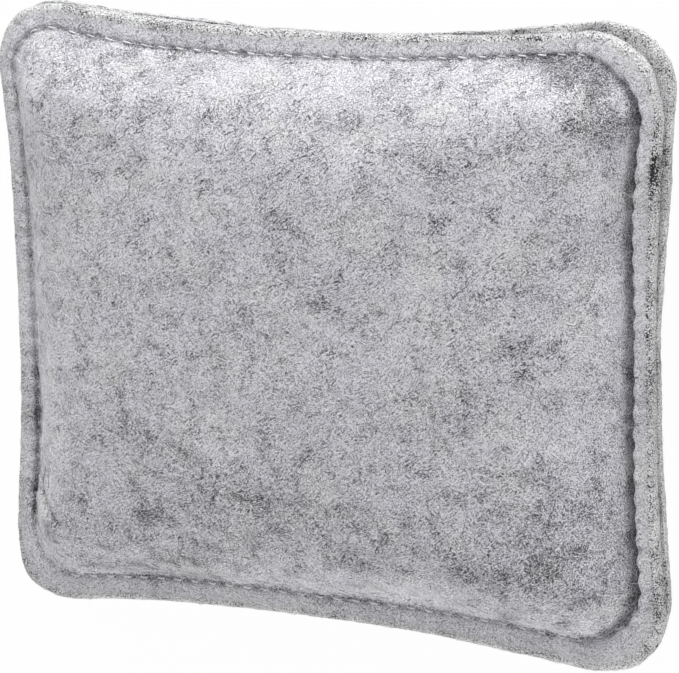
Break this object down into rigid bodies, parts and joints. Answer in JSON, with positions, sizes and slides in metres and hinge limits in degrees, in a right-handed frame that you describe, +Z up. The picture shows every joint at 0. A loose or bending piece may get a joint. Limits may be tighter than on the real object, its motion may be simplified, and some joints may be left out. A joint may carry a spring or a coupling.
{
  "type": "needle felting pad",
  "caption": "Soft oblong pad for needle felting: two thick grey felt sheets stitched together near their raw edges round a foam block, crowned on both faces, sides drawn in.",
  "frame": {"origin": "middle of the underside, on the plane that the pad rests on", "axes": "+X along the longer side, +Y along the shorter side, +Z up, out of the working face"},
  "size_m": [0.1458, 0.1254, 0.0311],
  "materials": {
    "felt": "matte heather-grey needle felt with darker fibres",
    "foam": "matte open-cell foam",
    "thread": "pale spun sewing thread"
  },
  "bodies": {
    "root": {"face_felt": "felt", "back_felt": "felt", "foam_core": "foam", "needle_thread": "thread", "bobbin_thread": "thread"}
  },
  "joints": []
}
